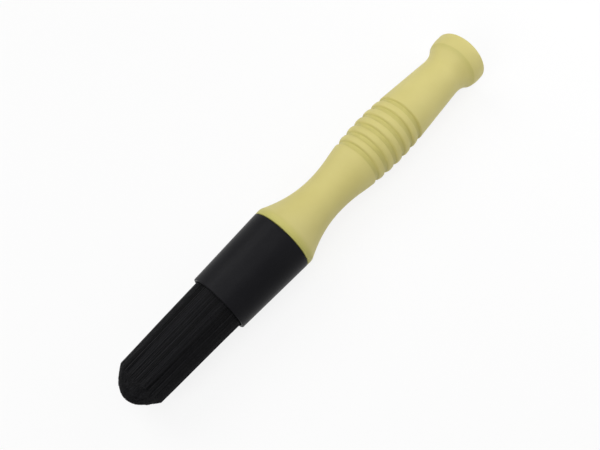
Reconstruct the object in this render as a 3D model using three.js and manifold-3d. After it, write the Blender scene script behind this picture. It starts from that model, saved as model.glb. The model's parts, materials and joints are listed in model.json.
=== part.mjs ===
// A flow-through parts washer brush: a hollow moulded handle, a tapered sleeve, and a round pack of
// bristles set in resin round a flow tube. Cleaning fluid enters by a hose pushed into the handle's
// rear end, runs down the handle and leaves inside the bristles.
//
// Millimetres, +Z up. The brush lies as it does on a bench, on the handle's flange and its rear knob,
// with the bristle tip towards -X. Inside the brush, x runs along its axis from the flange's front
// shoulder, where the sleeve ends: the bristles lie on its negative side, the handle on the positive.

import * as THREE from "three";
import { mergeVertices } from "three/addons/utils/BufferGeometryUtils.js";
import Module from "manifold-3d";

const wasm = await Module();
wasm.setup();

// Fits
const CLEARANCE = 0.3; // between any two pieces that seat on each other

// Handle, outside
const HANDLE_LENGTH = 143.5; // shoulder to rear face
const FLANGE_RADIUS = 18;
const FLANGE_WIDTH = 3.4;
const WAIST_RADIUS = 11.15; // the finger hollow behind the flange
const WAIST_AT = 32.5;
const GRIP_RADIUS = 15.25; // the swell in the palm
const GRIP_AT = 76.8;
const GRIP_CROWN = 160; // radius of the swell's long curve
const RIB_COUNT = 5;
const RIB_PITCH = 6.54;
const FIRST_GROOVE_AT = 57.4;
const GROOVE_WIDTH = 3.4; // between the ribs' edges
const GROOVE_FLOOR = 1.9; // the flat at the bottom
const GROOVE_DEPTH = 1.2;
const RIB_ROUNDING = 0.3; // how much lower a rib is at its edges than at its crest
const NECK_RADIUS = 11.8; // where the taper behind the ribs meets the flare
const NECK_AT = 125;
const KNOB_RADIUS = 15.6; // the stop at the rear end
const KNOB_WIDTH = 8;
const KNOB_CREST_AT = 5; // behind the knob's front edge
const KNOB_CROWN = 0.6; // how much lower the knob's front edge is than its crest
const EDGE = 0.8; // how far a moulded edge is rounded back

// Handle, inside
const SOCKET_RADIUS = 8; // takes the end of the hose
const SOCKET_DEPTH = 30;
const SOCKET_LEAD = 1; // chamfer at the socket's mouth
const GRIP_RING_COUNT = 3; // rings inside the socket that hold the hose
const GRIP_RING_PITCH = 6;
const GRIP_RING_HEIGHT = 0.5;
const CHANNEL_RADIUS = 4.2;

// Spigot, the front of the handle inside the sleeve
const SPIGOT_LENGTH = 18;
const BARB_COUNT = 3;
const BARB_HEIGHT = 0.7;

// Sleeve
const SLEEVE_LENGTH = 44;
const SLEEVE_MOUTH_RADIUS = 16.35;
const SLEEVE_WALL = 1.4;
const SLEEVE_EDGE = 0.4;

// Flow tube
const TUBE_RADIUS = 5;
const TUBE_BORE = 3.8;
const TUBE_SEAT = 6; // how far the tube goes into the handle past the shoulder
const TUBE_REACH = 7; // how far the tube goes past the bristles' roots
const COLLAR_RADIUS = 11;
const COLLAR_THICKNESS = 2;

// Resin and bristles
const PLUG_THICKNESS = 9;
const ROOT_THICKNESS = 2.5; // the slice of resin that holds each ring of bristles
const ROOT_SUNK = 1; // how deep a bristle starts inside that slice
const BRISTLE_REACH = 60.8; // sleeve mouth to tip
const DOME_HEIGHT = 10.2;
const BUNDLE_TAPER = 1.5; // how much narrower the pack is where its dome starts than at the mouth
const STRAND_RADIUS = 0.4;
const STRAND_SIDES = 3;
const STRAND_PITCH = 1.25; // between neighbours in a ring
const LAYERS = ["bristles_core", "bristles_inner", "bristles_middle", "bristles_outer"];
const RINGS_PER_LAYER = 2;

// Facets: a whole number of quarters, turned half a facet so that a flat lies underneath
const OUTER_SEGMENTS = 40;
const INNER_SEGMENTS = 32;

// Places that follow from the sizes above
const SPIGOT_FRONT = -SPIGOT_LENGTH;
const COLLAR_REAR = SPIGOT_FRONT - CLEARANCE;
const COLLAR_FRONT = COLLAR_REAR - COLLAR_THICKNESS;
const PLUG_REAR = COLLAR_FRONT - CLEARANCE;
const PLUG_FRONT = PLUG_REAR - PLUG_THICKNESS;
const ROOT_REAR = PLUG_FRONT - CLEARANCE;
const ROOT_FRONT = ROOT_REAR - ROOT_THICKNESS;
const TUBE_FRONT = ROOT_FRONT - TUBE_REACH;
const MOUTH = -SLEEVE_LENGTH;
const TIP = MOUTH - BRISTLE_REACH;
const DOME_START = TIP + DOME_HEIGHT;
const SLEEVE_SLOPE = (FLANGE_RADIUS - SLEEVE_MOUTH_RADIUS) / SLEEVE_LENGTH;
const KNOB_FRONT = HANDLE_LENGTH - KNOB_WIDTH;
const SOCKET_FLOOR = HANDLE_LENGTH - SOCKET_DEPTH;

// The sleeve's inside radius, square to the axis, at a place along it.
const sleeveInside = (x) => FLANGE_RADIUS + SLEEVE_SLOPE * x - SLEEVE_WALL;

// The palm swell's radius along the axis, before its grooves are cut.
const swellRadius = (x) => GRIP_RADIUS - GRIP_CROWN + Math.sqrt(GRIP_CROWN ** 2 - (x - GRIP_AT) ** 2);

// The half outline of a turned piece, as points of distance from the axis and place along it.
// The outside runs towards +x and the inside runs back.
class Outline {
  points = [];

  to(x, radius) {
    this.points.push(new THREE.Vector2(radius, x));
    return this;
  }

  // Follows radius(x) from one place to another in equal steps.
  along(from, to, steps, radius) {
    for (let i = 0; i <= steps; i++) {
      const x = THREE.MathUtils.lerp(from, to, i / steps);
      this.to(x, radius(x));
    }
    return this;
  }

  // A flat-bottomed groove between two lips, with sloping walls that ease into its floor.
  groove(from, fromRadius, to, toRadius, floor, depth) {
    const wall = (to - from - floor) / 2;
    const cut = (x, share) => {
      const lip = THREE.MathUtils.mapLinear(x, from, to, fromRadius, toRadius);
      this.to(x, lip - depth * share);
    };
    cut(from, 0);
    cut(from + wall / 2, 0.8);
    cut(from + wall, 1);
    cut(to - wall, 1);
    cut(to - wall / 2, 0.8);
    cut(to, 0);
    return this;
  }

  // Turns the outline about the brush's axis into one closed body.
  turned(segments) {
    const kept = this.points.filter((p, i, all) => i === 0 || p.distanceTo(all[i - 1]) > 1e-3);
    kept.push(kept[0].clone());
    const solid = new THREE.LatheGeometry(kept, segments, Math.PI / segments);
    return solid.rotateZ(-Math.PI / 2);
  }
}

// The waist comes down from the flange on a parabola, levels out, and rises on an arc that runs
// smoothly into the palm swell.
function addWaist(outline) {
  const drop = FLANGE_RADIUS - WAIST_RADIUS;
  const front = (x) => WAIST_RADIUS + drop * ((WAIST_AT - x) / (WAIST_AT - FLANGE_WIDTH)) ** 2;
  const run = GRIP_AT - WAIST_AT;
  const rise = GRIP_RADIUS - WAIST_RADIUS;
  const arc = (run ** 2 + rise ** 2) / (2 * rise) - GRIP_CROWN;
  const rear = (x) => WAIST_RADIUS + arc - Math.sqrt(arc ** 2 - (x - WAIST_AT) ** 2);
  const end = WAIST_AT + (run * arc) / (arc + GRIP_CROWN);
  outline.along(FLANGE_WIDTH + EDGE / 2, WAIST_AT, 8, front);
  outline.along(WAIST_AT, end, 4, rear);
  return end;
}

// Five rounded ribs between six grooves, cut into the palm swell.
function addRibs(outline) {
  const half = GROOVE_WIDTH / 2;
  for (let g = 0; g <= RIB_COUNT; g++) {
    const centre = FIRST_GROOVE_AT + g * RIB_PITCH;
    const frontLip = swellRadius(centre - half) - (g > 0 ? RIB_ROUNDING : 0);
    const rearLip = swellRadius(centre + half) - (g < RIB_COUNT ? RIB_ROUNDING : 0);
    outline.groove(centre - half, frontLip, centre + half, rearLip, GROOVE_FLOOR, GROOVE_DEPTH);
    if (g < RIB_COUNT) {
      const crest = centre + RIB_PITCH / 2;
      const reach = RIB_PITCH / 2 - half;
      const rounding = (x) => RIB_ROUNDING * ((x - crest) / reach) ** 2;
      outline.along(crest - reach, crest + reach, 4, (x) => swellRadius(x) - rounding(x));
    }
  }
  return FIRST_GROOVE_AT + RIB_COUNT * RIB_PITCH + half;
}

// Behind the ribs the handle tapers straight to the neck, then flares on an arc that leaves the taper
// smoothly and meets the crowned knob at a crisp edge.
function addNeckAndKnob(outline, from) {
  const taper = new THREE.Vector2(NECK_AT - from, NECK_RADIUS - swellRadius(from)).normalize();
  const square = new THREE.Vector2(-taper.y, taper.x);
  const flare = new THREE.Vector2(KNOB_FRONT - NECK_AT, KNOB_RADIUS - KNOB_CROWN - NECK_RADIUS);
  const arc = flare.lengthSq() / (2 * flare.dot(square));
  const centre = new THREE.Vector2(NECK_AT, NECK_RADIUS).addScaledVector(square, arc);
  const flareRadius = (x) => centre.y - Math.sqrt(arc ** 2 - (x - centre.x) ** 2);
  outline.to(from, swellRadius(from));
  const crest = KNOB_FRONT + KNOB_CREST_AT;
  const crownRadius = (x) => KNOB_RADIUS - KNOB_CROWN * ((crest - x) / KNOB_CREST_AT) ** 2;
  outline.along(NECK_AT, KNOB_FRONT, 7, flareRadius);
  outline.along(KNOB_FRONT, crest, 3, crownRadius);
  outline.to(HANDLE_LENGTH - EDGE, KNOB_RADIUS);
  outline.to(HANDLE_LENGTH - EDGE * 0.3, KNOB_RADIUS - EDGE * 0.3);
  outline.to(HANDLE_LENGTH, KNOB_RADIUS - EDGE);
}

// The hose socket with its grip rings, the flow channel, and the seat of the flow tube.
function addInside(outline) {
  outline.to(HANDLE_LENGTH, SOCKET_RADIUS + SOCKET_LEAD);
  outline.to(HANDLE_LENGTH - SOCKET_LEAD, SOCKET_RADIUS);
  for (let ring = GRIP_RING_COUNT; ring > 0; ring--) {
    const centre = SOCKET_FLOOR + ring * GRIP_RING_PITCH;
    outline.to(centre + GRIP_RING_PITCH / 4, SOCKET_RADIUS);
    outline.to(centre, SOCKET_RADIUS - GRIP_RING_HEIGHT);
    outline.to(centre - GRIP_RING_HEIGHT, SOCKET_RADIUS);
  }
  outline.to(SOCKET_FLOOR, SOCKET_RADIUS);
  outline.to(SOCKET_FLOOR, CHANNEL_RADIUS);
  outline.to(TUBE_SEAT + CLEARANCE, CHANNEL_RADIUS);
  outline.to(TUBE_SEAT + CLEARANCE, TUBE_RADIUS + CLEARANCE);
}

// Sawtooth rings on the spigot, which let the sleeve slide on and not off.
function addSpigot(outline) {
  const pitch = SPIGOT_LENGTH / (BARB_COUNT + 0.5);
  const crest = (x) => sleeveInside(x) - CLEARANCE;
  const root = (x) => crest(x) - BARB_HEIGHT;
  outline.to(SPIGOT_FRONT, TUBE_RADIUS + CLEARANCE);
  outline.to(SPIGOT_FRONT, root(SPIGOT_FRONT));
  for (let b = 1; b <= BARB_COUNT; b++) {
    const top = SPIGOT_FRONT + b * pitch;
    outline.to(top - pitch / 2, root(top - pitch / 2));
    outline.to(top, crest(top));
    outline.to(top, root(top));
  }
  outline.to(0, root(0));
}

function handleGeometry() {
  const outline = new Outline();
  addSpigot(outline);
  outline.to(0, FLANGE_RADIUS - EDGE / 2);
  outline.to(EDGE / 2, FLANGE_RADIUS);
  outline.to(FLANGE_WIDTH - EDGE / 2, FLANGE_RADIUS);
  const swellStart = addWaist(outline);
  outline.along(swellStart, FIRST_GROOVE_AT - GROOVE_WIDTH / 2, 2, swellRadius);
  const ribsEnd = addRibs(outline);
  addNeckAndKnob(outline, ribsEnd);
  addInside(outline);
  return outline.turned(OUTER_SEGMENTS);
}

// A tapered tube that grips the spigot, the resin and the roots of the bristles.
function sleeveGeometry() {
  const rear = -CLEARANCE;
  const outside = (x) => sleeveInside(x) + SLEEVE_WALL;
  return new Outline()
    .to(MOUTH + SLEEVE_EDGE, sleeveInside(MOUTH + SLEEVE_EDGE))
    .to(MOUTH, sleeveInside(MOUTH) + SLEEVE_EDGE)
    .to(MOUTH, outside(MOUTH) - SLEEVE_EDGE)
    .to(MOUTH + SLEEVE_EDGE, outside(MOUTH + SLEEVE_EDGE))
    .along(MOUTH + SLEEVE_EDGE, rear - SLEEVE_EDGE, 4, outside)
    .to(rear, outside(rear) - SLEEVE_EDGE)
    .to(rear, sleeveInside(rear))
    .turned(OUTER_SEGMENTS);
}

// Carries the fluid through the resin. Its collar is held between the spigot and the resin.
function tubeGeometry() {
  return new Outline()
    .to(TUBE_FRONT, TUBE_BORE)
    .to(TUBE_FRONT, TUBE_RADIUS)
    .to(COLLAR_FRONT, TUBE_RADIUS)
    .to(COLLAR_FRONT, COLLAR_RADIUS)
    .to(COLLAR_REAR, COLLAR_RADIUS)
    .to(COLLAR_REAR, TUBE_RADIUS)
    .to(TUBE_SEAT, TUBE_RADIUS)
    .to(TUBE_SEAT, TUBE_BORE)
    .turned(INNER_SEGMENTS);
}

// The cast plug behind the bristles: wider at the rear, so that it wedges in the sleeve's taper.
function plugGeometry() {
  return new Outline()
    .to(PLUG_FRONT, TUBE_RADIUS + CLEARANCE)
    .to(PLUG_FRONT, sleeveInside(PLUG_FRONT) - CLEARANCE)
    .to(PLUG_REAR, sleeveInside(PLUG_REAR) - CLEARANCE)
    .to(PLUG_REAR, TUBE_RADIUS + CLEARANCE)
    .turned(OUTER_SEGMENTS);
}

// Where every bristle starts and ends. Roots stand in even rings round the flow tube. Tips fill a
// domed disc, each a golden turn on from the last, and the strands of a ring keep their order round
// the axis, so that the pack closes over the tube without two strands crossing.
function layOutStrands() {
  const bundleAtMouth = sleeveInside(MOUTH) - CLEARANCE;
  const bundleAtDome = bundleAtMouth - BUNDLE_TAPER;
  const spread = BUNDLE_TAPER / (MOUTH - DOME_START);
  const outerRing = bundleAtMouth + spread * (ROOT_FRONT - MOUTH) - STRAND_RADIUS;
  const tubeShare = TUBE_REACH / (ROOT_FRONT - TIP);
  const innerRing = (TUBE_RADIUS + CLEARANCE + STRAND_RADIUS) / (1 - tubeShare);
  const ringCount = LAYERS.length * RINGS_PER_LAYER;
  const ringStep = (outerRing - innerRing) / (ringCount - 1);
  const rings = Array.from({ length: ringCount }, (_, i) => {
    const radius = innerRing + i * ringStep;
    return { radius, count: Math.floor((2 * Math.PI * radius) / STRAND_PITCH) };
  });
  const total = rings.reduce((sum, ring) => sum + ring.count, 0);
  const goldenShare = (3 - Math.sqrt(5)) / 2;
  const tipEdge = bundleAtDome - STRAND_RADIUS;
  let before = 0;
  for (const ring of rings) {
    const tips = Array.from({ length: ring.count }, (_, j) => {
      const rank = before + j;
      const radius = tipEdge * Math.sqrt((rank + 0.5) / total);
      const turn = 2 * Math.PI * ((rank * goldenShare) % 1);
      return { x: TIP + DOME_HEIGHT * (radius / bundleAtDome) ** 2, radius, turn };
    });
    tips.sort((a, b) => a.turn - b.turn);
    const step = (2 * Math.PI) / ring.count;
    const lead = tips.reduce((sum, tip, j) => sum + tip.turn - j * step, 0) / ring.count;
    ring.strands = tips.map((tip, j) => {
      const root = { x: ROOT_FRONT + ROOT_SUNK, radius: ring.radius, turn: j * step + lead };
      return { root, tip };
    });
    before += ring.count;
  }
  return { rings, ringStep, innerRing };
}

// Straight prisms from the resin to the dome, as one mesh of separate closed bodies.
function strandsGeometry(strands) {
  const positions = [];
  const faces = [];
  for (const { root, tip } of strands) {
    const first = positions.length / 3;
    for (const end of [tip, root]) {
      for (let side = 0; side < STRAND_SIDES; side++) {
        const corner = root.turn + (2 * Math.PI * side) / STRAND_SIDES;
        const y = end.radius * Math.sin(end.turn) + STRAND_RADIUS * Math.sin(corner);
        const z = end.radius * Math.cos(end.turn) + STRAND_RADIUS * Math.cos(corner);
        positions.push(end.x, y, z);
      }
    }
    for (let side = 0; side < STRAND_SIDES; side++) {
      const next = (side + 1) % STRAND_SIDES;
      const [a, b] = [first + side, first + next];
      const [c, d] = [a + STRAND_SIDES, b + STRAND_SIDES];
      faces.push(a, c, b, b, c, d);
    }
    for (let side = 1; side < STRAND_SIDES - 1; side++) {
      faces.push(first, first + side, first + side + 1);
      faces.push(first + STRAND_SIDES, first + STRAND_SIDES + side + 1, first + STRAND_SIDES + side);
    }
  }
  const geometry = new THREE.BufferGeometry();
  geometry.setAttribute("position", new THREE.Float32BufferAttribute(positions, 3));
  return geometry.setIndex(faces);
}

// A closed three.js geometry as a manifold-3d solid.
function toSolid(geometry) {
  const bare = geometry.clone();
  bare.deleteAttribute("normal");
  bare.deleteAttribute("uv");
  const merged = mergeVertices(bare);
  const vertProperties = new Float32Array(merged.attributes.position.array);
  const triVerts = new Uint32Array(merged.index.array);
  return new wasm.Manifold(new wasm.Mesh({ numProp: 3, vertProperties, triVerts }));
}

// A manifold-3d solid as a three.js geometry with flat faces.
function fromSolid(solid) {
  const { vertProperties, triVerts } = solid.getMesh();
  const geometry = new THREE.BufferGeometry();
  geometry.setAttribute("position", new THREE.BufferAttribute(vertProperties, 3));
  geometry.setIndex(new THREE.BufferAttribute(triVerts, 1));
  const flat = geometry.toNonIndexed();
  flat.computeVertexNormals();
  return flat;
}

// One layer of the pack: its strands, fused to the slice of resin that they stand in.
function layerGeometry(layout, layer) {
  const firstRing = layer * RINGS_PER_LAYER;
  const rings = layout.rings.slice(firstRing, firstRing + RINGS_PER_LAYER);
  const edge = (ring) => layout.innerRing + (ring - 0.5) * layout.ringStep;
  const isFirst = layer === 0;
  const isLast = layer === LAYERS.length - 1;
  const inside = isFirst ? TUBE_RADIUS + CLEARANCE : edge(firstRing) + CLEARANCE / 2;
  const outerEdge = edge(firstRing + RINGS_PER_LAYER) - CLEARANCE / 2;
  const outside = (x) => (isLast ? sleeveInside(x) - CLEARANCE : outerEdge);
  const slice = new Outline()
    .to(ROOT_FRONT, inside)
    .to(ROOT_FRONT, outside(ROOT_FRONT))
    .to(ROOT_REAR, outside(ROOT_REAR))
    .to(ROOT_REAR, inside)
    .turned(OUTER_SEGMENTS);
  const strands = strandsGeometry(rings.flatMap((ring) => ring.strands));
  return fromSolid(toSolid(slice).add(toSolid(strands)));
}

const handlePlastic = new THREE.MeshStandardMaterial({ color: 0xd0c682, roughness: 0.55, metalness: 0 });
const sleevePlastic = new THREE.MeshStandardMaterial({ color: 0x1e1e20, roughness: 0.45, metalness: 0 });
const tubePlastic = new THREE.MeshStandardMaterial({ color: 0xd9d9d4, roughness: 0.4, metalness: 0 });
const castResin = new THREE.MeshStandardMaterial({ color: 0x6b5a35, roughness: 0.3, metalness: 0 });
const bristleNylon = new THREE.MeshStandardMaterial({ color: 0x141415, roughness: 0.5, metalness: 0 });

function piece(name, geometry, material) {
  const mesh = new THREE.Mesh(geometry, material);
  mesh.name = name;
  return mesh;
}

const brush = new THREE.Group();
brush.add(piece("handle", handleGeometry(), handlePlastic));
brush.add(piece("ferrule_sleeve", sleeveGeometry(), sleevePlastic));
brush.add(piece("flow_tube", tubeGeometry(), tubePlastic));
brush.add(piece("resin_plug", plugGeometry(), castResin));
const layout = layOutStrands();
LAYERS.forEach((name, layer) => brush.add(piece(name, layerGeometry(layout, layer), bristleNylon)));

// The brush lies on the flange's rear edge and the knob's rear edge, so its axis dips to the rear.
brush.rotation.y = Math.atan2(FLANGE_RADIUS - KNOB_RADIUS, HANDLE_LENGTH - EDGE - (FLANGE_WIDTH - EDGE / 2));
const box = new THREE.Box3().setFromObject(brush, true);
brush.position.set(-(box.min.x + box.max.x) / 2, -(box.min.y + box.max.y) / 2, -box.min.z);

const part = new THREE.Group();
part.add(brush);

export default part;
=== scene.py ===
"""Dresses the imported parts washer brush: handle, sleeve, flow tube, resin and filaments.

A piece's sizes are millimetres along the brush's own axis, counted from the flange's front
shoulder: the filaments lie on the negative side and the handle on the positive. Each piece is
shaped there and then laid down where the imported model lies. The studio's sizes are metres.
"""

from __future__ import annotations

import json
import logging
import math
import random
from dataclasses import dataclass, field
from enum import Enum
from functools import partial
from typing import Callable

import bmesh
import bpy
from mathutils import Matrix, Vector, noise


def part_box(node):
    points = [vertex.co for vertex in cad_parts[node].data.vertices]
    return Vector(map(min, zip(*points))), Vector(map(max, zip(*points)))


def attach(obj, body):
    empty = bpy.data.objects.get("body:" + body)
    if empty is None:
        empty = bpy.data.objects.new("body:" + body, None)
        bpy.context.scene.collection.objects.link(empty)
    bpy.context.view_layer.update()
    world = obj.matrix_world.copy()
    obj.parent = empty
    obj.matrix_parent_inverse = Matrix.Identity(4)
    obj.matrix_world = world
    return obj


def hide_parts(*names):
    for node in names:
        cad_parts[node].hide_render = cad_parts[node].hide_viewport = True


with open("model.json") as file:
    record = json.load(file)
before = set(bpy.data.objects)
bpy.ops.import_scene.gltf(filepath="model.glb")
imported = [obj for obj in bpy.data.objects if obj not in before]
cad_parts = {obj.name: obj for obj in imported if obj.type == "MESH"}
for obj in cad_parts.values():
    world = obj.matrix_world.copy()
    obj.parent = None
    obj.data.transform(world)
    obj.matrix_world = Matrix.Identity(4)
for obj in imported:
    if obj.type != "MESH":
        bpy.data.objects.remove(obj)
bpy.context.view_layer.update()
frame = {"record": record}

Colour = tuple[float, float, float]
Range = tuple[float, float]
Socket = bpy.types.NodeSocket

LOG = logging.getLogger("brush")
BODY = "root"
MM = 0.001  # in metres
CLEARANCE = 0.3  # between any two pieces that seat on each other
SAME_POINT = 1e-3  # points closer than this are one
SAME_PLANE = 1e-4  # points closer than this lie on a cutting plane
CORNER_STEPS = 5  # round each rounded corner of an outline
CREASE_DEGREES = 40.0  # edges that turn by more stay sharp
GOLDEN_SHARE = (3.0 - math.sqrt(5.0)) / 2.0  # of a turn, from one filament to the next
NOISE_MIDDLE: Range = (0.3, 0.7)  # where most values of a noise lie
WHITE: Colour = (1.0, 1.0, 1.0)


class Layer(Enum):
    """The filament pack's layers, from the flow tube outwards, by the node that each replaces."""

    CORE = "bristles_core"
    INNER = "bristles_inner"
    MIDDLE = "bristles_middle"
    OUTER = "bristles_outer"


# Placing


@dataclass(frozen=True)
class Lie:
    """Where the brush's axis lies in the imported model."""

    shoulder: Vector
    axis: Vector

    @classmethod
    def from_record(cls, record: dict, handle_length: float) -> Lie:
        """Reads the axis from the flat ring at the handle's rear end.

        Args:
            record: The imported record.
            handle_length: Shoulder to rear face, in millimetres.

        Returns:
            The brush's lie.
        """
        ring = next(mount for mount in record["mounts"] if mount["name"] == "hose_end_face")
        axis = Vector(ring["axis"]).normalized()
        x, _, z = ring["pos_m"]
        return cls(Vector((x, 0.0, z)) - axis * handle_length * MM, axis)

    def matrix(self) -> Matrix:
        """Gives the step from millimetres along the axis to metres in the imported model."""
        dip = Matrix.Rotation(math.atan2(-self.axis.z, self.axis.x), 4, "Y")
        return Matrix.Translation(self.shoulder) @ dip @ Matrix.Scale(MM, 4)


def outwards(turn: float) -> Vector:
    """Gives the direction out from the axis at an angle from straight up, in radians."""
    return Vector((0.0, math.sin(turn), math.cos(turn)))


# Materials


@dataclass(frozen=True)
class Grain:
    """A noise in a finish."""

    cells: float  # in a metre
    detail: float = 3.0  # octaves
    along: float = 1.0  # share of the cells along the brush, below 1 for drawn-out marks


@dataclass(frozen=True)
class Relief:
    """How a noise stands out of the surface."""

    strength: float  # how much of the bump shows
    depth: float  # in millimetres


class NodeBoard:
    """A node tree, with short calls to add and join its nodes."""

    def __init__(self, tree: bpy.types.NodeTree, output: str) -> None:
        """Empties the tree and gives it an output.

        Args:
            tree: The node tree.
            output: The output node's type, without the leading ShaderNode.
        """
        self.tree = tree
        self.tree.nodes.clear()
        self.output = self.add(output)

    def add(self, kind: str, *inputs: object, **sockets: object) -> bpy.types.Node:
        """Adds a node and sets its inputs, or joins them where a socket is given.

        Args:
            kind: The node's type, without the leading ShaderNode.
            *inputs: Its first inputs, in order.
            **sockets: Other inputs by name, with _ for a space.

        Returns:
            The new node.
        """
        node = self.tree.nodes.new("ShaderNode" + kind)
        named = [(name.replace("_", " "), value) for name, value in sockets.items()]
        for key, value in [*enumerate(inputs), *named]:
            if isinstance(value, Socket):
                self.tree.links.new(value, node.inputs[key])
            else:
                node.inputs[key].default_value = value
        return node

    def combine(self, operation: str, first: Socket, second: Socket) -> Socket:
        """Works out a number from two others.

        Args:
            operation: What is done with them.
            first: First number.
            second: Second number.

        Returns:
            The result.
        """
        node = self.add("Math", first, second)
        node.operation = operation
        return node.outputs["Value"]

    def seen_directly(self) -> Socket:
        """Gives a factor that is 1 for camera, glossy and transmission rays.

        Returns:
            The factor.
        """
        rays = self.add("LightPath").outputs
        shown = self.combine("MAXIMUM", rays["Is Camera Ray"], rays["Is Glossy Ray"])
        return self.combine("MAXIMUM", shown, rays["Is Transmission Ray"])

    def place(self) -> Socket:
        """Gives the object coordinates."""
        return self.add("TexCoord").outputs["Object"]

    def grain(self, grain: Grain) -> Socket:
        """Adds noise on object coordinates.

        Args:
            grain: The noise to add.

        Returns:
            The noise's factor.
        """
        place = self.place()
        if grain.along < 1.0:
            squeeze = (grain.along, 1.0, 1.0)
            place = self.add("Mapping", Vector=place, Scale=squeeze).outputs["Vector"]
        made = self.add("TexNoise", Vector=place, Scale=grain.cells, Detail=grain.detail)
        return made.outputs["Fac"]

    def span(self, factor: Socket, low: float = 0.0, high: float = 1.0) -> Socket:
        """Maps the middle range of a noise to a range of values."""
        node = self.add("MapRange", factor, *NOISE_MIDDLE, low, high)
        return node.outputs["Result"]

    def attribute(self, name: str) -> Socket:
        """Reads a number that the mesh carries at its points.

        Args:
            name: The attribute's name.

        Returns:
            The number.
        """
        node = self.add("Attribute")
        node.attribute_name = name
        return node.outputs["Fac"]

    def blend(self, factor: Socket, low: Colour | Socket, high: Colour) -> Socket:
        """Mixes two colours by a factor.

        Args:
            factor: Share of the second colour.
            low: First colour, or a socket that gives it.
            high: Second colour.

        Returns:
            The mixed colour.
        """
        node = self.add("Mix")
        node.data_type = "RGBA"
        self.tree.links.new(factor, node.inputs["Factor"])
        for socket in (s for s in node.inputs if s.type == "RGBA"):
            colour = low if socket.name == "A" else high
            if isinstance(colour, Socket):
                self.tree.links.new(colour, socket)
            else:
                socket.default_value = (*colour, 1.0)
        return next(s for s in node.outputs if s.type == "RGBA")

    def bump(self, height: Socket, relief: Relief) -> Socket:
        """Turns a height into a bumped normal."""
        node = self.add("Bump", Height=height, Strength=relief.strength, Distance=relief.depth * MM)
        return node.outputs["Normal"]

    def finish(self, shader: bpy.types.Node) -> None:
        """Joins a shader to the output."""
        self.tree.links.new(shader.outputs[0], self.output.inputs["Surface"])


class MaterialBoard(NodeBoard):
    """A new material's nodes."""

    def __init__(self, name: str) -> None:
        """Starts a material with only its output.

        Args:
            name: The material's name.
        """
        self.material = bpy.data.materials.new(name)
        self.material.use_nodes = True
        super().__init__(self.material.node_tree, "OutputMaterial")

    def surface(self, **sockets: object) -> bpy.types.Material:
        """Finishes the material with a principled shader that has these inputs."""
        self.finish(self.add("BsdfPrincipled", **sockets))
        return self.material


@dataclass(frozen=True)
class MouldedHandlePlastic:
    """Pale yellow-green plastic with the fine grain of a satin mould, and shade painted into its
    recesses and beside the sleeve.
    """

    slot: str = "handle_plastic"
    pale: Colour = (0.640, 0.568, 0.208)
    deep: Colour = (0.608, 0.537, 0.187)
    # painted shade: a darker, more saturated colour that stands in for shade beside the sleeve, in
    # the grooves and in front of the knob
    painted_shade_colour: Colour = (0.500, 0.466, 0.125)
    roughness: Range = (0.44, 0.54)
    ior: float = 1.4
    clouds: Grain = Grain(55.0)
    mould: Grain = Grain(2600.0, detail=2.0)
    relief: Relief = Relief(strength=0.4, depth=0.2)

    def material(self) -> bpy.types.Material:
        """Builds the material.

        Returns:
            The material, which reads from the mesh where shade is painted.
        """
        board = MaterialBoard("moulded_handle_plastic")
        fine = board.grain(self.mould)
        skin = board.blend(board.span(board.grain(self.clouds)), self.deep, self.pale)
        return board.surface(
            # painted shade: the mesh's shade attribute blends in the darker colour where shade
            # falls
            Base_Color=board.blend(board.attribute("shade"), skin, self.painted_shade_colour),
            Roughness=board.span(fine, *self.roughness),
            Normal=board.bump(fine, self.relief),
            IOR=self.ior,
        )


@dataclass(frozen=True)
class SatinSleevePlastic:
    """Black plastic with a satin skin and faint drawn marks along its length."""

    slot: str = "sleeve_plastic"
    dark: Colour = (0.0036, 0.0036, 0.0048)
    worn: Colour = (0.0052, 0.0052, 0.0065)
    roughness: Range = (0.39, 0.45)
    ior: float = 1.17
    clouds: Grain = Grain(70.0)
    drawn: Grain = Grain(900.0, detail=2.0, along=0.04)
    mould: Grain = Grain(2200.0, detail=2.0)
    relief: Relief = Relief(strength=0.4, depth=0.15)

    def material(self) -> bpy.types.Material:
        """Builds the material.

        Returns:
            The material.
        """
        board = MaterialBoard("satin_sleeve_plastic")
        return board.surface(
            Base_Color=board.blend(board.span(board.grain(self.clouds)), self.dark, self.worn),
            Roughness=board.span(board.grain(self.drawn), *self.roughness),
            Normal=board.bump(board.grain(self.mould), self.relief),
            IOR=self.ior,
        )


@dataclass(frozen=True)
class NylonFilament:
    """Black nylon filament. Each filament has a tone of its own."""

    slot: str = "bristle_nylon"
    dark: Colour = (0.0021, 0.0021, 0.0027)
    light: Colour = (0.0115, 0.0115, 0.0134)
    roughness: Range = (0.36, 0.50)
    ior: float = 1.2
    drawn: Grain = Grain(1800.0, detail=2.0, along=0.1)

    def material(self) -> bpy.types.Material:
        """Builds the material.

        Returns:
            The material, which reads each filament's tone from the mesh.
        """
        board = MaterialBoard("nylon_filament")
        return board.surface(
            Base_Color=board.blend(board.attribute("tone"), self.dark, self.light),
            Roughness=board.span(board.grain(self.drawn), *self.roughness),
            IOR=self.ior,
        )


@dataclass(frozen=True)
class CastResin:
    """Amber resin with cloudy depth."""

    slot: str = "cast_resin"
    deep: Colour = (0.10, 0.060, 0.018)
    clear: Colour = (0.19, 0.130, 0.055)
    roughness: Range = (0.16, 0.30)
    ior: float = 1.55
    clouds: Grain = Grain(260.0)
    ripple: Grain = Grain(700.0)
    relief: Relief = Relief(strength=0.2, depth=0.1)

    def material(self) -> bpy.types.Material:
        """Builds the material.

        Returns:
            The material.
        """
        board = MaterialBoard("cast_resin")
        clouds = board.grain(self.clouds)
        return board.surface(
            Base_Color=board.blend(board.span(clouds), self.deep, self.clear),
            Roughness=board.span(clouds, *self.roughness),
            Normal=board.bump(board.grain(self.ripple), self.relief),
            IOR=self.ior,
        )


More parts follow.
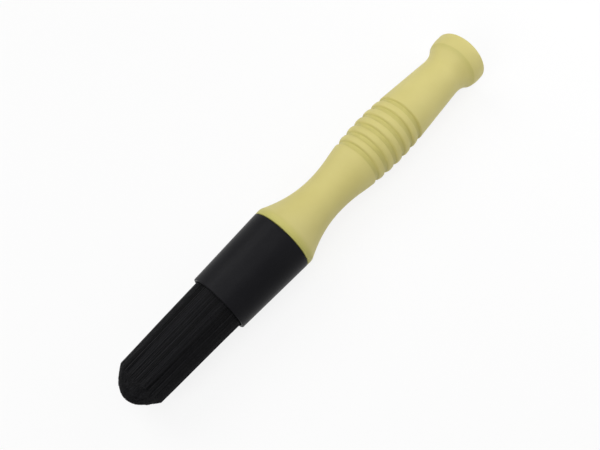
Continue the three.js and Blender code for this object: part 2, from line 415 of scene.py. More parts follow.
@dataclass(frozen=True)
class NaturalTubePlastic:
    """Unpigmented plastic of the flow tube."""

    slot: str = "tube_plastic"
    milky: Colour = (0.72, 0.72, 0.67)
    warm: Colour = (0.66, 0.65, 0.59)
    roughness: Range = (0.34, 0.46)
    ior: float = 1.51
    drawn: Grain = Grain(700.0, along=0.05)
    relief: Relief = Relief(strength=0.1, depth=0.05)

    def material(self) -> bpy.types.Material:
        """Builds the material.

        Returns:
            The material.
        """
        board = MaterialBoard("natural_tube_plastic")
        drawn = board.grain(self.drawn)
        return board.surface(
            Base_Color=board.blend(board.span(drawn), self.warm, self.milky),
            Roughness=board.span(drawn, *self.roughness),
            Normal=board.bump(drawn, self.relief),
            IOR=self.ior,
        )


# Shaping


class Profile:
    """The half outline of a turned piece, as places along the axis and radii."""

    def __init__(self) -> None:
        """Starts an empty outline."""
        self.marks: list[tuple[Vector, float]] = []

    def to(self, x: float, radius: float, rounding: float = 0.0) -> None:
        """Goes straight to a corner, which is rounded back by a length on either side."""
        self.marks.append((Vector((x, radius)), rounding))

    def along(
        self, start: float, end: float, steps: int, radius: Callable[[float], float]
    ) -> None:
        """Follows a curve in equal steps.

        Args:
            start: First place along the axis.
            end: Last place along the axis.
            steps: Number of steps.
            radius: The curve's radius at a place.
        """
        for i in range(steps + 1):
            x = start + (end - start) * i / steps
            self.to(x, radius(x))

    def points(self) -> list[Vector]:
        """Gives the outline's points, with its corners rounded.

        Returns:
            The points in order, without repeats.
        """
        laid: list[Vector] = []
        count = len(self.marks)
        for i, (corner, rounding) in enumerate(self.marks):
            if rounding == 0.0:
                laid.append(corner)
                continue
            before = self.marks[i - 1][0]
            after = self.marks[(i + 1) % count][0]
            enter = corner + (before - corner).normalized() * rounding
            leave = corner + (after - corner).normalized() * rounding
            for k in range(CORNER_STEPS + 1):
                t = k / CORNER_STEPS
                laid.append(enter * (1 - t) ** 2 + corner * 2 * t * (1 - t) + leave * t * t)
        return [p for i, p in enumerate(laid) if (p - laid[i - 1]).length > SAME_POINT]


class Workpiece:
    """A mesh in the making, shaped in millimetres along the brush's axis."""

    def __init__(self) -> None:
        """Starts an empty mesh."""
        self.mesh = bmesh.new()

    def turn(self, profile: Profile, steps: int, roll: float = 0.0, material: int = 0) -> None:
        """Spins a closed outline about the axis into a solid.

        Args:
            profile: The outline to spin.
            steps: Faces round the axis.
            roll: Angle of the first column of faces, in radians from straight up.
            material: Material index of the new faces.
        """
        aim = outwards(roll)
        verts = [self.mesh.verts.new(Vector((p.x, 0, 0)) + aim * p.y) for p in profile.points()]
        edges = [self.mesh.edges.new((verts[i - 1], verts[i])) for i in range(len(verts))]
        before = len(self.mesh.faces)
        bmesh.ops.spin(
            self.mesh,
            geom=verts + edges,
            cent=(0, 0, 0),
            axis=(1, 0, 0),
            angle=math.tau,
            steps=steps,
            use_merge=True,
        )
        fresh = self.mesh.faces[:][before:]
        for face in fresh:
            face.material_index = material
        bmesh.ops.recalc_face_normals(self.mesh, faces=fresh)

    def slice(self, point: Vector, normal: Vector) -> None:
        """Adds a line of edges where the plane through a point crosses the mesh."""
        whole = self.mesh.verts[:] + self.mesh.edges[:] + self.mesh.faces[:]
        bmesh.ops.bisect_plane(
            self.mesh, geom=whole, dist=SAME_PLANE, plane_co=point, plane_no=normal
        )

    def soften(self, crease_degrees: float) -> None:
        """Smooths the shading, apart from edges sharper than an angle.

        Args:
            crease_degrees: Edges that turn by more stay sharp.
        """
        limit = math.radians(crease_degrees)
        for face in self.mesh.faces:
            face.smooth = True
        for edge in self.mesh.edges:
            edge.smooth = edge.calc_face_angle(0.0) < limit

    def lay(
        self, name: str, lie: Lie, crease_degrees: float = CREASE_DEGREES
    ) -> bpy.types.Object:
        """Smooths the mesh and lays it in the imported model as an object.

        Args:
            name: The piece's name.
            lie: Where the brush lies.
            crease_degrees: Edges that turn by more stay sharp.

        Returns:
            The new object.
        """
        self.soften(crease_degrees)
        bmesh.ops.transform(self.mesh, matrix=lie.matrix(), verts=self.mesh.verts[:])
        mesh = bpy.data.meshes.new(name)
        self.mesh.to_mesh(mesh)
        self.mesh.free()
        piece = bpy.data.objects.new(name, mesh)
        bpy.context.scene.collection.objects.link(piece)
        return piece


def dress(piece: bpy.types.Object, slot: str, node: str, *materials: bpy.types.Material) -> None:
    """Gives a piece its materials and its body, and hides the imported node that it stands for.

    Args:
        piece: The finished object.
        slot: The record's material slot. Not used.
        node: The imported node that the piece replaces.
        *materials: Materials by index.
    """
    for material in materials:
        piece.data.materials.append(material)
    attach(piece, BODY)
    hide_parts(node)
    faces = sum(len(p.vertices) - 2 for p in piece.data.polygons)
    LOG.info("%s: %d triangles, stands for %s", piece.name, faces, node)


# Sub-assemblies


@dataclass
class Sleeve:
    """The tapered black tube between handle and filaments."""

    rear_radius: float
    mouth_radius: float = 16.35
    length: float = 44.0
    wall: float = 1.4
    wall_steps: int = 10
    rear_edge: float = 0.25
    mouth_edge: float = 0.45
    edge_zone: float = 2.0  # from an edge to the wall's first step
    steps: int = 192
    finish: SatinSleevePlastic = field(default_factory=SatinSleevePlastic)

    def outside(self, x: float) -> float:
        """Gives the outside radius at a place along the axis."""
        return self.rear_radius + (self.rear_radius - self.mouth_radius) * x / self.length

    def inside(self, x: float) -> float:
        """Gives the inside radius at a place along the axis."""
        return self.outside(x) - self.wall

    def build(self, lie: Lie) -> None:
        """Turns, lays and dresses the sleeve.

        Args:
            lie: Where the brush lies.
        """
        mouth, rear = -self.length, -CLEARANCE
        wall_front, wall_rear = mouth + self.edge_zone, rear - self.edge_zone
        profile = Profile()
        profile.to(mouth, self.inside(mouth), self.mouth_edge)
        profile.to(mouth, self.outside(mouth), self.mouth_edge)
        profile.along(wall_front, wall_rear, self.wall_steps, self.outside)
        profile.to(rear, self.outside(rear), self.rear_edge)
        profile.to(rear, self.inside(rear), self.rear_edge)
        profile.along(wall_rear, wall_front, self.wall_steps, self.inside)
        work = Workpiece()
        work.turn(profile, self.steps)
        piece = work.lay("black_sleeve", lie)
        dress(piece, self.finish.slot, "ferrule_sleeve", self.finish.material())


@dataclass
class FlowTube:
    """The tube that carries fluid through the resin, with the collar that holds it."""

    collar_rear: float
    collar_radius: float = 11.0
    collar_thickness: float = 2.0
    radius: float = 5.0
    bore: float = 3.8
    seat: float = 6.0  # how far it goes into the handle past the shoulder
    reach: float = 7.0  # how far it goes past the filaments' roots
    edge: float = 0.3
    steps: int = 96
    finish: NaturalTubePlastic = field(default_factory=NaturalTubePlastic)

    @property
    def collar_front(self) -> float:
        """Gives the place of the collar's front face."""
        return self.collar_rear - self.collar_thickness

    @property
    def hole(self) -> float:
        """Gives the radius of a hole that the tube goes through."""
        return self.radius + CLEARANCE

    def build(self, lie: Lie, root_front: float) -> None:
        """Turns, lays and dresses the tube.

        Args:
            lie: Where the brush lies.
            root_front: Front face of the resin that holds the filaments.
        """
        front = root_front - self.reach
        profile = Profile()
        profile.to(front, self.bore, self.edge)
        profile.to(front, self.radius, self.edge)
        profile.to(self.collar_front, self.radius)
        profile.to(self.collar_front, self.collar_radius, self.edge)
        profile.to(self.collar_rear, self.collar_radius, self.edge)
        profile.to(self.collar_rear, self.radius)
        profile.to(self.seat, self.radius, self.edge)
        profile.to(self.seat, self.bore, self.edge)
        work = Workpiece()
        work.turn(profile, self.steps)
        piece = work.lay("flow_tube_liner", lie)
        dress(piece, self.finish.slot, "flow_tube", self.finish.material())


@dataclass
class ResinPlug:
    """The cast plug behind the filaments' roots."""

    rear: float
    thickness: float = 9.0
    edge: float = 0.4
    steps: int = 128
    finish: CastResin = field(default_factory=CastResin)

    @property
    def front(self) -> float:
        """Gives the place of the plug's front face."""
        return self.rear - self.thickness

    def build(
        self, lie: Lie, sleeve: Sleeve, tube: FlowTube, resin: bpy.types.Material
    ) -> None:
        """Turns, lays and dresses the plug.

        Args:
            lie: Where the brush lies.
            sleeve: The sleeve that holds it.
            tube: The tube that goes through it.
            resin: The resin's material.
        """
        profile = Profile()
        profile.to(self.front, tube.hole)
        profile.to(self.front, sleeve.inside(self.front) - CLEARANCE, self.edge)
        profile.to(self.rear, sleeve.inside(self.rear) - CLEARANCE, self.edge)
        profile.to(self.rear, tube.hole)
        work = Workpiece()
        work.turn(profile, self.steps)
        dress(work.lay("root_resin", lie), self.finish.slot, "resin_plug", resin)


@dataclass
class Handle:
    """The one-piece moulded handle, with its spigot, ribs, flow channel and hose socket."""

    length: float = 143.5

    # Flange
    flange_radius: float = 18.0
    flange_width: float = 3.4
    flange_edge: float = 0.7
    shoulder_edge: float = 0.9

    # Waist and palm swell
    waist_radius: float = 11.15
    waist_at: float = 32.5
    waist_front_steps: int = 26
    waist_rear_steps: int = 12
    grip_radius: float = 15.25
    grip_at: float = 76.8
    grip_crown: float = 160.0
    grip_steps: int = 6
    corner_zone: float = 1.0  # from a corner to the first step of the curve beside it

    # Ribs
    rib_count: int = 5
    rib_pitch: float = 6.54
    rib_rounding: float = 0.18
    rib_steps: int = 6
    first_groove_at: float = 57.4
    groove_width: float = 3.4
    groove_depth: float = 1.15
    groove_front_wall: float = 0.25
    groove_rear_wall: float = 0.6
    groove_edge: float = 0.4
    lip_edge: float = 0.25
    crown_front_inset: float = 0.48  # from a rib's front lip to its crown
    crown_rear_inset: float = 0.5  # from its crown to its rear lip

    # Neck and knob
    neck_radius: float = 11.8
    neck_at: float = 125.0
    neck_steps: int = 12
    flare_steps: int = 14
    knob_radius: float = 15.6
    knob_width: float = 8.0
    knob_crest_at: float = 5.0
    knob_crown: float = 0.6
    knob_steps: int = 8
    knob_front_edge: float = 0.35
    knob_front_zone: float = 0.6  # from the front edge to the curves beside it
    knob_edge: float = 0.9

    # Hose socket and flow channel
    socket_radius: float = 8.0
    socket_depth: float = 30.0
    socket_lead: float = 1.0
    socket_mouth_edge: float = 0.25
    socket_floor_edge: float = 0.5
    ring_count: int = 3
    ring_pitch: float = 6.0
    ring_height: float = 0.5
    ring_edge: float = 0.15
    ring_slope_edge: float = 0.3
    channel_radius: float = 4.2
    channel_edge: float = 0.3

    # Spigot
    spigot_length: float = 18.0
    spigot_edge: float = 0.4
    barb_count: int = 3
    barb_height: float = 0.7
    barb_edge: float = 0.12

    # Painted shade, and the mould's parting lines
    flange_painted_shade: Range = (0.8, 5.0)  # where the painted shade by the sleeve starts to fade, and where it ends
    # painted shade on the groove floors and in the crease in front of the knob
    groove_painted_shade: float = 0.38
    crease_painted_shade: float = 0.4
    crease_reach: float = 2.6
    parting_height: float = 0.05
    parting_width: float = 0.18
    parting_roll: float = math.radians(76.4)

    steps: int = 192
    finish: MouldedHandlePlastic = field(default_factory=MouldedHandlePlastic)

    @property
    def spigot_front(self) -> float:
        """Gives the place of the spigot's front face."""
        return -self.spigot_length

    @property
    def knob_front(self) -> float:
        """Gives the place of the knob's front edge."""
        return self.length - self.knob_width

    def swell(self, x: float) -> float:
        """Gives the palm swell's radius before its grooves are cut."""
        fall = self.grip_crown - math.sqrt(self.grip_crown**2 - (x - self.grip_at) ** 2)
        return self.grip_radius - fall

    def crown(self, crest: float, x: float) -> float:
        """Gives the radius of a rib, at a place along the axis, from where its crest is."""
        reach = (self.rib_pitch - self.groove_width) / 2
        return self.swell(x) - self.rib_rounding * ((x - crest) / reach) ** 2

    def spigot(self, profile: Profile, sleeve: Sleeve, tube: FlowTube) -> None:
        """Outlines the barbed spigot under the sleeve, with half a pitch left plain behind.

        Args:
            profile: The outline to go on with.
            sleeve: The sleeve that slides over it.
            tube: The tube that goes into it.
        """
        pitch = self.spigot_length / (self.barb_count + 0.5)

        def crest(x: float) -> float:
            """Gives the radius of the barbs' crests."""
            return sleeve.inside(x) - CLEARANCE

        def root(x: float) -> float:
            """Gives the radius between the barbs."""
            return crest(x) - self.barb_height

        profile.to(self.spigot_front, tube.hole)
        profile.to(self.spigot_front, root(self.spigot_front), self.spigot_edge)
        for barb in range(1, self.barb_count + 1):
            top = self.spigot_front + barb * pitch
            profile.to(top - pitch / 2, root(top - pitch / 2))
            profile.to(top, crest(top), self.barb_edge)
            profile.to(top, root(top))
        profile.to(0.0, root(0.0))

    def waist(self, profile: Profile) -> None:
        """Outlines the flange and the finger hollow behind it, up to the first groove.

        Args:
            profile: The outline to go on with.
        """
        drop = self.flange_radius - self.waist_radius
        reach = self.waist_at - self.flange_width
        run = self.grip_at - self.waist_at
        rise = self.grip_radius - self.waist_radius
        arc = (run**2 + rise**2) / (2 * rise) - self.grip_crown
        swell_start = self.waist_at + run * arc / (arc + self.grip_crown)
        swell_end = self.first_groove_at - self.groove_width / 2 - self.corner_zone

        def front(x: float) -> float:
            """Gives the radius on the parabola behind the flange."""
            return self.waist_radius + drop * ((self.waist_at - x) / reach) ** 2

        def rear(x: float) -> float:
            """Gives the radius on the arc that runs smoothly into the palm swell."""
            return self.waist_radius + arc - math.sqrt(arc**2 - (x - self.waist_at) ** 2)

        start = self.flange_width + self.corner_zone
        profile.to(0.0, self.flange_radius, self.flange_edge)
        profile.to(self.flange_width, self.flange_radius, self.shoulder_edge)
        profile.along(start, self.waist_at, self.waist_front_steps, front)
        profile.along(self.waist_at, swell_start, self.waist_rear_steps, rear)
        profile.along(swell_start, swell_end, self.grip_steps, self.swell)

    def ribs(self, profile: Profile) -> float:
        """Outlines the grip's ribs and grooves.

        Args:
            profile: The outline to go on with.

        Returns:
            Where the last groove ends.
        """
        half = self.groove_width / 2
        for groove in range(self.rib_count + 1):
            centre = self.first_groove_at + groove * self.rib_pitch
            front, rear = centre - half, centre + half
            has_rib_before, has_rib_behind = groove > 0, groove < self.rib_count
            front_lip = self.swell(front) - (self.rib_rounding if has_rib_before else 0.0)
            rear_lip = self.swell(rear) - (self.rib_rounding if has_rib_behind else 0.0)
            front_floor, rear_floor = front_lip - self.groove_depth, rear_lip - self.groove_depth
            profile.to(front, front_lip, self.lip_edge)
            profile.to(front + self.groove_front_wall, front_floor, self.groove_edge)
            profile.to(rear - self.groove_rear_wall, rear_floor, self.groove_edge)
            profile.to(rear, rear_lip, self.groove_edge)
            if has_rib_behind:
                rib = partial(self.crown, centre + self.rib_pitch / 2)
                start = rear + self.crown_front_inset
                end = front + self.rib_pitch - self.crown_rear_inset
                profile.along(start, end, self.rib_steps, rib)
        return self.first_groove_at + self.rib_count * self.rib_pitch + half

    def neck_and_knob(self, profile: Profile, start: float) -> None:
        """Outlines the taper behind the ribs and the flared knob.

        Args:
            profile: The outline to go on with.
            start: Where the ribs end.
        """
        crest = self.knob_front + self.knob_crest_at
        front_radius = self.knob_radius - self.knob_crown
        fall = self.neck_radius - self.swell(start)
        taper = Vector((self.neck_at - start, fall)).normalized()
        square = Vector((-taper.y, taper.x))
        flare = Vector((self.knob_front - self.neck_at, front_radius - self.neck_radius))
        arc = flare.length_squared / (2 * flare.dot(square))
        centre = Vector((self.neck_at, self.neck_radius)) + square * arc

        def straight(x: float) -> float:
            """Gives the radius on the straight taper."""
            return self.swell(start) + fall * (x - start) / (self.neck_at - start)

        def flared(x: float) -> float:
            """Gives the radius on the arc that leaves the taper smoothly."""
            return centre.y - math.sqrt(arc**2 - (x - centre.x) ** 2)

        def crowned(x: float) -> float:
            """Gives the radius of the knob in front of its crest."""
            return self.knob_radius - self.knob_crown * ((crest - x) / self.knob_crest_at) ** 2

        flare_end = self.knob_front - self.knob_front_zone
        crown_start = self.knob_front + self.knob_front_zone
        profile.along(start + self.corner_zone, self.neck_at, self.neck_steps, straight)
        profile.along(self.neck_at, flare_end, self.flare_steps, flared)
        profile.to(self.knob_front, front_radius, self.knob_front_edge)
        profile.along(crown_start, crest, self.knob_steps, crowned)
        profile.to(self.length, self.knob_radius, self.knob_edge)

    def hollows(self, profile: Profile, tube: FlowTube) -> None:
        """Outlines the hose socket, the flow channel and the flow tube's seat.

        Args:
            profile: The outline to go on with.
            tube: The tube that goes into the seat.
        """
        floor = self.length - self.socket_depth
        seat = tube.seat + CLEARANCE
        lead_end = self.length - self.socket_lead
        profile.to(self.length, self.socket_radius + self.socket_lead, self.socket_mouth_edge)
        profile.to(lead_end, self.socket_radius, self.socket_mouth_edge)
        for ring in range(self.ring_count, 0, -1):
            centre = floor + ring * self.ring_pitch
            profile.to(centre + self.ring_pitch / 4, self.socket_radius, self.ring_slope_edge)
            profile.to(centre, self.socket_radius - self.ring_height, self.ring_edge)
            profile.to(centre - self.ring_height, self.socket_radius, self.ring_edge)
        profile.to(floor, self.socket_radius, self.socket_floor_edge)
        profile.to(floor, self.channel_radius, self.channel_edge)
        profile.to(seat, self.channel_radius)
        profile.to(seat, tube.hole)

    def parting_lines(self, work: Workpiece) -> None:
        """Raises the two fine lines where the halves of the mould met.

        Args:
            work: The turned handle, with columns of faces on the mould's plane.
        """
        aim = outwards(self.parting_roll)
        normal = Vector((0.0, aim.z, -aim.y))
        for side in (-self.parting_width, self.parting_width):
            work.slice(normal * side, normal)
        inside = self.waist_radius - 2 * self.groove_depth  # less than any radius of the outside
        rear = self.length - self.knob_edge
        for vert in work.mesh.verts:
            radius = math.hypot(vert.co.y, vert.co.z)
            on_outside = radius > inside and self.flange_edge < vert.co.x <= rear
            if on_outside and abs(vert.co.dot(normal)) < SAME_POINT:
                vert.co += Vector((0.0, vert.co.y, vert.co.z)) * (self.parting_height / radius)

    def painted_shade_at(self, x: float, radius: float) -> float:
        """Gives how much shade is painted at a point of the outside.

        Args:
            x: Place along the axis.
            radius: Distance from the axis.

        Returns:
            The painted shade, from 0 to 1.
        """
        near, far = self.flange_painted_shade
        if x < far:
            return min(1.0, (far - x) / (far - near))
        to_knob = self.knob_front - x
        if 0.0 < to_knob < self.crease_reach:
            return self.crease_painted_shade * (1 - to_knob / self.crease_reach)
        half_pitch = self.rib_pitch / 2
        last_groove_at = self.first_groove_at + self.rib_count * self.rib_pitch
        among_ribs = self.first_groove_at - half_pitch < x < last_groove_at + half_pitch
        offset = (x - self.first_groove_at) % self.rib_pitch
        in_groove = min(offset, self.rib_pitch - offset) < self.groove_width / 2
        is_deep = radius < self.swell(x) - self.groove_depth / 2
        return self.groove_painted_shade if among_ribs and in_groove and is_deep else 0.0

    def shade(self, work: Workpiece) -> None:
        """Marks where shade is painted: by the sleeve, in the grooves, below the knob.

        Args:
            work: The turned handle.
        """
        # painted shade, which the material reads to darken the plastic's colour
        layer = work.mesh.verts.layers.float.new("shade")
        for vert in work.mesh.verts:
            vert[layer] = self.painted_shade_at(vert.co.x, math.hypot(vert.co.y, vert.co.z))

    def build(self, lie: Lie, sleeve: Sleeve, tube: FlowTube) -> None:
        """Turns, lays and dresses the handle.

        Args:
            lie: Where the brush lies.
            sleeve: The sleeve over its spigot.
            tube: The tube in its front end.
        """
        profile = Profile()
        self.spigot(profile, sleeve, tube)
        self.waist(profile)
        ribs_end = self.ribs(profile)
        self.neck_and_knob(profile, ribs_end)
        self.hollows(profile, tube)
        work = Workpiece()
        work.turn(profile, self.steps, self.parting_roll)
        self.parting_lines(work)
        self.shade(work)
        piece = work.lay("moulded_handle", lie)
        dress(piece, self.finish.slot, "handle", self.finish.material())


@dataclass
class FilamentPack:
    """The round pack of filaments, in layers, each standing in its slice of resin."""

    # Roots
    root_rear: float
    mouth: float
    root_thickness: float = 2.5
    root_edge: float = 0.2
    root_steps: int = 96
    resin_index: int = 1

    # Filaments
    count: int = 2200
    filament_radius: float = 0.19
    sides: int = 6
    crease_degrees: float = 70.0
    sunk: float = 1.0  # how deep a filament starts inside its slice of resin
    reach: float = 60.8  # sleeve's mouth to tip
    dome_height: float = 10.2
    taper: float = 1.5  # how much narrower the pack is at its dome than at the mouth

    # Unevenness
    bends: tuple[float, ...] = (-50.0, -68.0, -86.0)
    waver: float = 0.4
    waver_cell: float = 6.0
    waver_length: float = 55.0
    clump: float = 0.26
    clump_cell: float = 1.9
    stiff_share: float = 0.1  # of the free length, from the roots, which stays straight
    full_share: float = 0.6  # of the free length, beyond which the waver is whole
    tip_scatter: float = 0.12
    tip_unevenness: float = 0.15
    seed: int = 11

    finish: NylonFilament = field(default_factory=NylonFilament)

    @property
    def root_front(self) -> float:
        """Gives the place of the resin's front face."""
        return self.root_rear - self.root_thickness

    @property
    def tip(self) -> float:
        """Gives the place of the dome's tip."""
        return self.mouth - self.reach

    def layer_edges(self) -> list[float]:
        """Gives each layer's outer radius at the roots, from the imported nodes' boxes."""
        return [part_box(layer.value)[1].y / MM for layer in Layer]

    def lines(self, sleeve: Sleeve, tube: FlowTube) -> list[tuple[Vector, Vector]]:
        """Lays out the filaments as straight lines, each a golden turn on from the last.

        Args:
            sleeve: The sleeve round the roots.
            tube: The tube inside them.

        Returns:
            Each filament's root and tip, from the core outwards.
        """
        at_mouth = sleeve.inside(self.mouth) - CLEARANCE
        at_dome = at_mouth - self.taper
        spread = self.taper / (self.mouth - (self.tip + self.dome_height))
        outer_root = at_mouth + spread * (self.root_front - self.mouth) - self.filament_radius
        tube_share = tube.reach / (self.root_front - self.tip)
        inner_root = (tube.hole + self.filament_radius) / (1 - tube_share)
        tip_edge = at_dome - self.filament_radius
        root_x = self.root_front + self.sunk
        laid: list[tuple[Vector, Vector]] = []
        for rank in range(self.count):
            share = (rank + 0.5) / self.count
            aim = outwards(math.tau * (rank * GOLDEN_SHARE % 1.0))
            root_radius = math.sqrt(inner_root**2 + (outer_root**2 - inner_root**2) * share)
            tip_radius = tip_edge * math.sqrt(share)
            tip_x = self.tip + self.dome_height * (tip_radius / at_dome) ** 2
            root = Vector((root_x, 0, 0)) + aim * root_radius
            laid.append((root, Vector((tip_x, 0, 0)) + aim * tip_radius))
        return laid

    def filament(self, work: Workpiece, root: Vector, tip: Vector, tone: float) -> None:
        """Adds one filament.

        Args:
            work: The layer's mesh.
            root: Its start inside the resin.
            tip: Its cut end.
            tone: How light it is, from 0 to 1.
        """
        line = tip - root
        turn = Vector((0.0, 0.0, 1.0)).rotation_difference(line).to_matrix().to_4x4()
        made = bmesh.ops.create_cone(
            work.mesh,
            cap_ends=True,
            cap_tris=False,
            segments=self.sides,
            radius1=self.filament_radius,
            radius2=self.filament_radius,
            depth=line.length,
            matrix=Matrix.Translation((root + tip) / 2) @ turn,
        )
        layer = work.mesh.verts.layers.float["tone"]
        for vert in made["verts"]:
            vert[layer] = tone

    def plant(self, sleeve: Sleeve, tube: FlowTube, edges: list[float]) -> dict[Layer, Workpiece]:
        """Sets the filaments in their layers, with tips a little uneven.

        Args:
            sleeve: The sleeve round the roots.
            tube: The tube inside them.
            edges: Each layer's outer radius at the roots.

        Returns:
            Each layer's mesh.
        """
        draw = random.Random(self.seed)
        works = {layer: Workpiece() for layer in Layer}
        for work in works.values():
            work.mesh.verts.layers.float.new("tone")
        for root, tip in self.lines(sleeve, tube):
            radius = math.hypot(root.y, root.z)
            layer = next((kind for kind, edge in zip(Layer, edges) if radius < edge), Layer.OUTER)
            tip.x += draw.uniform(-self.tip_unevenness, self.tip_unevenness)
            tip.y += draw.uniform(-self.tip_scatter, self.tip_scatter)
            tip.z += draw.uniform(-self.tip_scatter, self.tip_scatter)
            self.filament(works[layer], root, tip, draw.random() ** 2)
        return works

    def waver_filaments(self, work: Workpiece) -> None:
        """Bends the filaments a little, neighbours alike, more towards their tips.

        Args:
            work: The layer's mesh.
        """
        noise.seed_set(self.seed)
        for x in self.bends:
            work.slice(Vector((x, 0, 0)), Vector((1, 0, 0)))
        free = self.root_front - self.tip
        rise = self.full_share - self.stiff_share
        for vert in work.mesh.verts:
            share = (self.root_front - vert.co.x) / free
            looseness = min(1.0, max(0.0, (share - self.stiff_share) / rise))
            across = Vector((0.0, vert.co.y, vert.co.z))
            along = Vector((vert.co.x / self.waver_length, 0.0, 0.0))
            drift = noise.noise_vector(along + across / self.waver_cell) * self.waver
            drift += noise.noise_vector(along + across / self.clump_cell) * self.clump
            vert.co += Vector((0.0, drift.y, drift.z)) * looseness

    def roots(self, work: Workpiece, inner: float, outer: float) -> None:
        """Adds the slice of resin that a layer stands in.

        Args:
            work: The layer's mesh.
            inner: The slice's inner radius.
            outer: Its outer radius.
        """
        profile = Profile()
        profile.to(self.root_front, inner)
        profile.to(self.root_front, outer, self.root_edge)
        profile.to(self.root_rear, outer, self.root_edge)
        profile.to(self.root_rear, inner)
        work.turn(profile, self.root_steps, material=self.resin_index)

    def build(
        self, lie: Lie, sleeve: Sleeve, tube: FlowTube, resin: bpy.types.Material
    ) -> None:
        """Builds, lays and dresses every layer.

        Args:
            lie: Where the brush lies.
            sleeve: The sleeve round the roots.
            tube: The tube inside them.
            resin: The resin's material.
        """
        edges = self.layer_edges()
        works = self.plant(sleeve, tube, edges)
        edges[-1] = sleeve.inside(self.root_front) - CLEARANCE  # the last slice fills the sleeve
        nylon = self.finish.material()
        inner = tube.hole
        for layer, outer in zip(Layer, edges):
            work = works[layer]
            self.waver_filaments(work)
            self.roots(work, inner, outer)
            inner = outer + CLEARANCE
            name = layer.value.replace("bristles", "filaments")
            piece = work.lay(name, lie, self.crease_degrees)
            dress(piece, self.finish.slot, layer.value, nylon, resin)


# Studio


@dataclass(frozen=True)
class Viewpoint:
    """The photograph's camera, aimed so that the flange's shoulder lies at its pixel."""

    azimuth: float = -47.6  # in degrees
    elevation: float = 70.31  # in degrees
    distance: float = 0.377
    focal_pixels: float = 763.0
    image_width: float = 600.0
    image_height: float = 450.0
    shoulder_pixel: tuple[float, float] = (281.07, 239.77)
    sensor_width: float = 36.0  # in millimetres
    clip_start: float = 0.01

    def place(self, shoulder: Vector) -> None:
        """Creates the camera and makes it the scene's own.

        Args:
            shoulder: The flange shoulder's centre, in metres.
        """
        turn, lift = math.radians(self.azimuth), math.radians(self.elevation)
        level = Vector((math.sin(turn), -math.cos(turn), 0.0))
        back = level * math.cos(lift) + Vector((0.0, 0.0, math.sin(lift)))
        right = Vector((math.cos(turn), math.sin(turn), 0.0))
        up = back.cross(right)
        across = (self.shoulder_pixel[0] - self.image_width / 2) / self.focal_pixels
        down = (self.shoulder_pixel[1] - self.image_height / 2) / self.focal_pixels
        ray = (right * across - up * down - back).normalized()
        data = bpy.data.cameras.new("photo_camera")
        data.sensor_fit = "HORIZONTAL"
        data.sensor_width = self.sensor_width
        data.lens = self.focal_pixels * self.sensor_width / self.image_width
        data.clip_start = self.clip_start
        camera = bpy.data.objects.new("photo_camera", data)
        basis = Matrix((right, up, back)).transposed().to_4x4()
        camera.matrix_world = Matrix.Translation(shoulder - ray * self.distance) @ basis
        bpy.context.scene.collection.objects.link(camera)
        bpy.context.scene.camera = camera


@dataclass(frozen=True)
class Lamp:
    """One soft box."""

    name: str
    direction: tuple[float, float, float]  # from the point that it lights
    distance: float
    size: float
    level: float  # how light a white face turned towards it renders, where 1 is white

    def hang(self, aim: Vector) -> None:
        """Creates the lamp, turned towards a point.

        Args:
            aim: The point it lights, in metres.
        """
        towards = Vector(self.direction).normalized()
        data = bpy.data.lights.new(self.name, "AREA")
        data.shape = "DISK"
        data.size = self.size
        data.energy = self.level * (math.pi * self.distance) ** 2
        lamp = bpy.data.objects.new(self.name, data)
        lamp.location = aim + towards * self.distance
        lamp.rotation_euler = towards.to_track_quat("Z", "Y").to_euler()
        lamp.visible_camera = False
        bpy.context.scene.collection.objects.link(lamp)


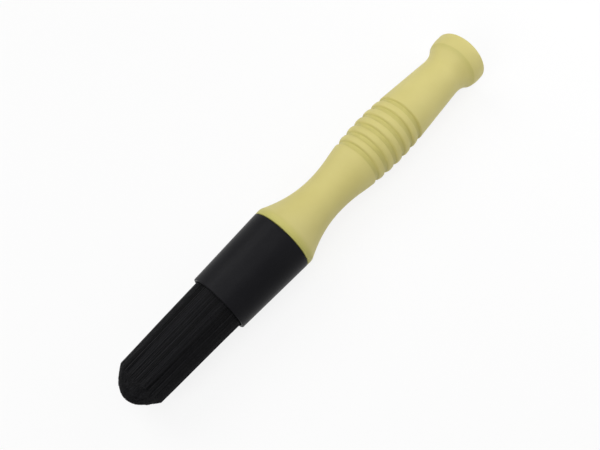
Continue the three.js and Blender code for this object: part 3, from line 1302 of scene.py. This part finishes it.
@dataclass
class Studio:
    """A pale floor, a weak even surround and soft boxes."""

    floor_size: float = 8.0
    floor_colour: Colour = (0.90, 0.90, 0.90)
    floor_white: float = 0.84  # share of plain white round the brush
    floor_fade: Range = (0.25, 1.2)  # where that share starts to rise, and where it is whole
    surround_level: float = 0.02
    lamps: tuple[Lamp, ...] = (
        Lamp("overhead_soft_box", (0.0, 0.0, 1.0), 1.3, 0.95, 0.25),
        Lamp("bristle_end_soft_box", (-0.70, 0.0, 0.70), 1.3, 0.95, 0.455),
        Lamp("far_side_soft_box", (0.0, 0.70, 0.70), 1.3, 0.95, 0.42),
        Lamp("handle_end_fill", (0.90, 0.0, 0.45), 0.45, 0.4, 0.28),
        Lamp("near_side_fill", (0.65, -0.65, 0.40), 0.45, 0.4, 0.205),
    )

    def floor_paint(self) -> bpy.types.Material:
        """Builds the floor's material: mostly plain white where it is seen or reflected.

        Returns:
            The material.
        """
        board = MaterialBoard("pale_floor")
        away = board.add("VectorMath", board.place())
        away.operation = "LENGTH"
        distance = away.outputs["Value"]
        fade = board.add("MapRange", distance, *self.floor_fade, self.floor_white)
        share = board.combine("MULTIPLY", board.seen_directly(), fade.outputs["Result"])
        matte = board.add("BsdfDiffuse", Color=(*self.floor_colour, 1.0))
        white = board.add("Emission", Color=(*WHITE, 1.0), Strength=1.0)
        board.finish(board.add("MixShader", share, matte.outputs[0], white.outputs[0]))
        return board.material

    def floor(self) -> None:
        """Lays the floor, which keeps the brush's soft shadow and is evenly white far off."""
        work = bmesh.new()
        bmesh.ops.create_grid(work, x_segments=1, y_segments=1, size=self.floor_size / 2)
        mesh = bpy.data.meshes.new("pale_floor")
        work.to_mesh(mesh)
        work.free()
        mesh.materials.append(self.floor_paint())
        floor = bpy.data.objects.new("pale_floor", mesh)
        bpy.context.scene.collection.objects.link(floor)

    def surround(self) -> None:
        """Makes the world: white to the eye and in reflections, and a weak even light."""
        world = bpy.data.worlds.new("studio_surround")
        bpy.context.scene.world = world
        world.use_nodes = True
        board = NodeBoard(world.node_tree, "OutputWorld")
        seen = board.add("Mix", Factor=board.seen_directly(), A=self.surround_level, B=1.0)
        strength = seen.outputs["Result"]
        board.finish(board.add("Background", Color=(*WHITE, 1.0), Strength=strength))

    def build(self, aim: Vector) -> None:
        """Builds floor, surround and lamps.

        Args:
            aim: The point that the lamps face, in metres.
        """
        self.floor()
        self.surround()
        for lamp in self.lamps:
            lamp.hang(aim)
        bpy.context.scene.view_settings.view_transform = "Standard"


def main() -> None:
    """Builds the brush's pieces in order, then the studio around them."""
    logging.basicConfig(level=logging.INFO, format="%(name)s: %(message)s")
    handle = Handle()
    sleeve = Sleeve(rear_radius=handle.flange_radius)
    tube = FlowTube(collar_rear=handle.spigot_front - CLEARANCE)
    plug = ResinPlug(rear=tube.collar_front - CLEARANCE)
    pack = FilamentPack(root_rear=plug.front - CLEARANCE, mouth=-sleeve.length)
    lie = Lie.from_record(frame["record"], handle.length)
    resin = plug.finish.material()
    handle.build(lie, sleeve, tube)
    sleeve.build(lie)
    tube.build(lie, pack.root_front)
    plug.build(lie, sleeve, tube, resin)
    pack.build(lie, sleeve, tube, resin)
    Viewpoint().place(lie.shoulder)
    Studio().build(lie.shoulder)


if __name__ == "__main__":
    main()
